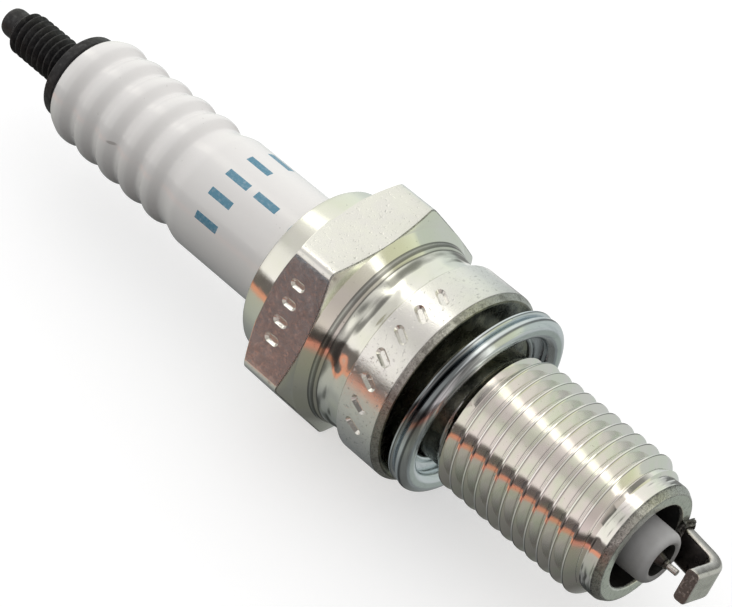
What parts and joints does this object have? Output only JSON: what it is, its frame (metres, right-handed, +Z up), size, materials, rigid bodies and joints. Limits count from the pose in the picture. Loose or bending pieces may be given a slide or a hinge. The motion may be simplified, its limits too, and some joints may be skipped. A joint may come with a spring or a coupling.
{
  "type": "spark plug",
  "caption": "Spark plug with ribbed white insulator, bare threaded terminal stud, hexagonal plated steel shell, loose folded gasket and hooked ground electrode.",
  "frame": {"origin": "bottom centre of the bounding box, with the plug lying on one flat of its hexagon", "axes": "+X along the plug's axis from the terminal towards the spark gap, +Z up, square to the hexagon flats that lie on top and underneath"},
  "size_m": [0.0766, 0.0208, 0.018],
  "materials": {
    "plated_steel": "bright plated, turned surfaces glossy and hexagon flats satin",
    "gasket_steel": "bright cold-rolled sheet, slightly bluish",
    "glazed_alumina": "glossy white glaze on the ribbed barrel, bare matte ceramic at the nose",
    "blackened_steel": "matte black oxide",
    "nickel_alloy": "satin drawn nickel alloy",
    "weld_metal": "rough, heat-darkened weld metal",
    "iridium": "satin drawn wire",
    "copper": "plain copper",
    "conductive_glass": "dark fused glass",
    "resistor_glass": "dull fused carbon and glass",
    "packing_steel": "plain steel",
    "talc": "compacted powder"
  },
  "bodies": {
    "plug": {"metal_shell": "plated_steel", "insulator": "glazed_alumina", "terminal_stud": "blackened_steel", "upper_glass_seal": "conductive_glass", "resistor_body": "resistor_glass", "lower_glass_seal": "conductive_glass", "centre_electrode": "nickel_alloy", "centre_electrode_core": "copper", "iridium_tip": "iridium", "tip_weld": "weld_metal", "upper_packing_ring": "packing_steel", "talc_packing": "talc", "lower_packing_ring": "packing_steel", "seat_packing_washer": "packing_steel", "ground_electrode": "nickel_alloy", "ground_electrode_weld": "weld_metal"},
    "gasket": {"seat_gasket": "gasket_steel"}
  },
  "joints": [
    {"name": "gasket_slide", "type": "slide", "parent": "plug", "child": "gasket", "axis": [1, 0, 0], "range_m": [-0.0001, 0.0008]}
  ]
}
